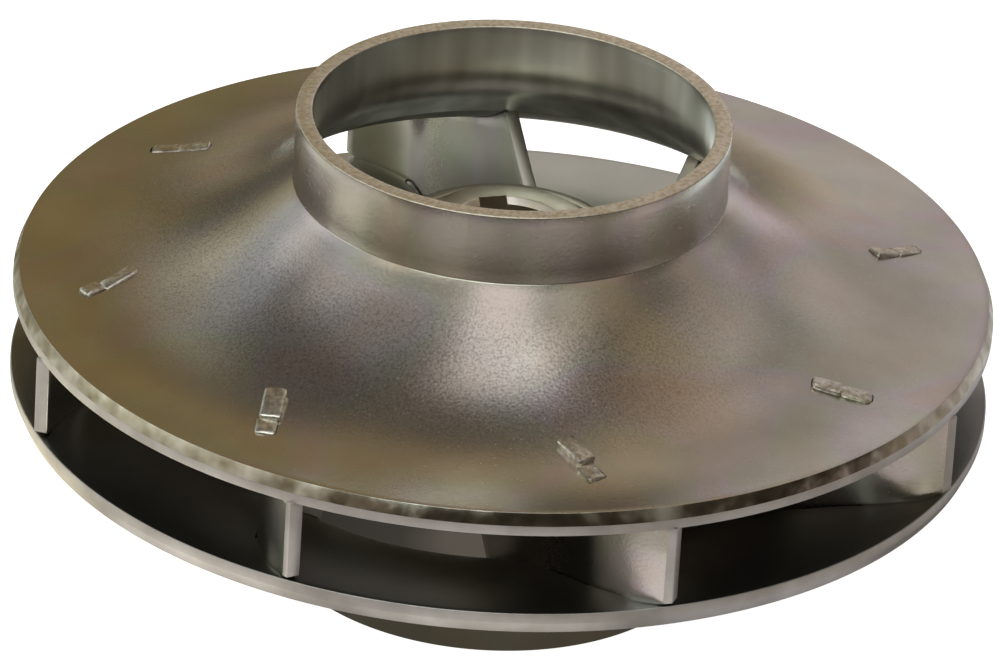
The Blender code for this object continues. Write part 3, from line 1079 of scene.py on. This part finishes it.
# %% Panels of the room
# Name, azimuth, elevation, width, height, colour, brightness. All stand one metre away.
ROOM_PANELS = (
    ("softbox_top", 90, 88, 0.28, 0.17, "f9f3ff", 0.85),
    ("softbox_middle", -90, 81, 0.32, 0.21, "f4f2ff", 0.73),
    ("softbox_front", -90, 70, 0.32, 0.17, "f9f2ff", 1.02),
    ("softbox_side", -35, 74, 0.16, 0.39, "fffbf7", 0.51),
    ("ceiling_left", -160, 66, 0.73, 0.28, "f9ffff", 0.13),
    ("ceiling_right", 36, 62, 0.65, 0.28, "ffe1b4", 0.20),
    ("ceiling_back", 90, 52, 0.39, 0.32, "ffd592", 0.15),
    ("ceiling_front", -30, 50, 0.43, 0.43, "ffe6c0", 0.24),
    ("window_front", -90, 45, 0.54, 0.43, "f3fff9", 1.36),
    ("window_middle", -120, 42, 0.54, 0.54, "ecfcff", 1.13),
    ("window_side", -150, 42, 0.54, 0.54, "fff0e1", 0.43),
    ("window_left", 180, 42, 0.54, 0.43, "f7fdff", 0.38),
    ("window_low", 180, 18, 0.46, 0.28, "f7fff2", 1.53),
    ("wall_front_left", -135, 18, 0.93, 0.28, "fff5e5", 0.28),
    ("screen_left", 153, 26, 0.25, 0.39, "f6fcff", 0.67),
    ("screen_middle", 139, 30, 0.23, 0.46, "d0e9ff", 0.38),
    ("screen_right", 125, 34, 0.23, 0.43, "f6fff1", 0.21),
    ("wall_back_left", 111, 28, 0.23, 0.50, "ffcc00", 0.10),
    ("wall_back", 97, 28, 0.23, 0.50, "ffda60", 0.11),
    ("wall_back_right", 68, 45, 0.39, 0.46, "fffcf7", 0.17),
    ("wall_right_back", 46, 42, 0.35, 0.54, "fffafd", 0.11),
    ("wall_right", 28, 40, 0.35, 0.54, "fff0f2", 0.25),
    ("wall_right_low", 50, 24, 0.46, 0.25, "fff6fc", 0.16),
    ("skirting_right", 0, 3, 0.81, 0.25, "ffecef", 0.17),
    ("skirting_middle", 45, 3, 0.81, 0.25, "fdeeff", 0.40),
    ("skirting_back", 90, 3, 0.81, 0.25, "ffe8b4", 0.18),
)
# Name, azimuth, distance from the axis, width, depth, colour, brightness. They lie on the floor.
FLOOR_PANELS = (
    ("paper_left", -180, 0.30, 0.22, 0.36, "fdfff5", 0.64),
    ("paper_left_near", -180, 0.17, 0.10, 0.09, "fff5d3", 1.11),
    ("paper_front_left", -135, 0.30, 0.22, 0.36, "ffebe6", 0.16),
    ("paper_front_left_near", -135, 0.17, 0.10, 0.09, "fffaf1", 0.98),
    ("paper_front", -90, 0.30, 0.22, 0.36, "fff3fe", 0.19),
    ("paper_front_near", -90, 0.17, 0.10, 0.09, "fffcf6", 0.65),
    ("paper_front_right", -45, 0.30, 0.22, 0.36, "fff2d1", 0.14),
    ("paper_front_right_near", -45, 0.17, 0.10, 0.09, "fdf9ff", 0.35),
    ("paper_right", 0, 0.30, 0.22, 0.36, "fff6f6", 0.29),
    ("paper_back_right", 45, 0.30, 0.22, 0.36, "e6f2ff", 0.70),
    ("paper_back", 90, 0.30, 0.22, 0.36, "f4fffb", 1.20),
)
# Name, place to the right, width, colour, brightness. They stand upright close behind the wheel.
CARD_PANELS = (
    ("card_left", -0.30, 0.10, "fffcc1", 0.23),
    ("card_middle", 0.00, 0.09, "f0f5ff", 0.26),
    ("card_right", 0.10, 0.11, "fff4fa", 0.34),
    ("card_far_right", 0.22, 0.13, "fff5f7", 0.20),
)
CARD_DEPTH = 0.30
CARD_LEVEL = 0.215
CARD_HEIGHT = 0.23
# Power of a square metre of panel at brightness one, and the faint even glow of the whole room.
PANEL_POWER = 4
ROOM_COLOUR = "fff2e0"
ROOM_GLOW = 0.096


def make_panel(name, place, away, width, height, colour, brightness):
    """A soft panel that faces against `away`; its power makes it equally bright at any size."""
    data = bpy.data.lights.new(name, "AREA")
    data.shape = "RECTANGLE"
    data.size = width
    data.size_y = height
    data.color = linear(colour)[:3]
    data.energy = brightness * PANEL_POWER * width * height
    panel = bpy.data.objects.new(name, data)
    bpy.context.scene.collection.objects.link(panel)
    panel.location = place
    panel.rotation_euler = away.to_track_quat("Z", "Y").to_euler()
    panel.visible_camera = False
    return panel


def make_panels():
    panels = []
    for name, azimuth, elevation, *rest in ROOM_PANELS:
        around = math.radians(azimuth)
        rise = math.radians(elevation)
        flat = math.cos(rise)
        away = Vector((math.cos(around) * flat, math.sin(around) * flat, math.sin(rise)))
        panels.append(make_panel(name, away + Vector((0, 0, MID_HEIGHT)), away, *rest))
    for name, azimuth, reach, *rest in FLOOR_PANELS:
        around = math.radians(azimuth)
        place = Vector((reach * math.cos(around), reach * math.sin(around), MM))
        panel = make_panel(name, place, Vector((0, 0, -1)), *rest)
        panel.rotation_euler.z = around
        panels.append(panel)
    for name, aside, width, *rest in CARD_PANELS:
        place = Vector((aside, CARD_DEPTH, CARD_LEVEL))
        panels.append(make_panel(name, place, Vector((0, 1, 0)), width, CARD_HEIGHT, *rest))
    return panels


def make_surroundings():
    world = bpy.data.worlds.new("surroundings")
    world.use_nodes = True
    background = world.node_tree.nodes["Background"]
    background.inputs["Color"].default_value = linear(ROOM_COLOUR)
    background.inputs["Strength"].default_value = ROOM_GLOW
    bpy.context.scene.world = world


panels = make_panels()
make_surroundings()
bpy.context.scene.view_settings.view_transform = "Standard"
print(len(panels), "panels")
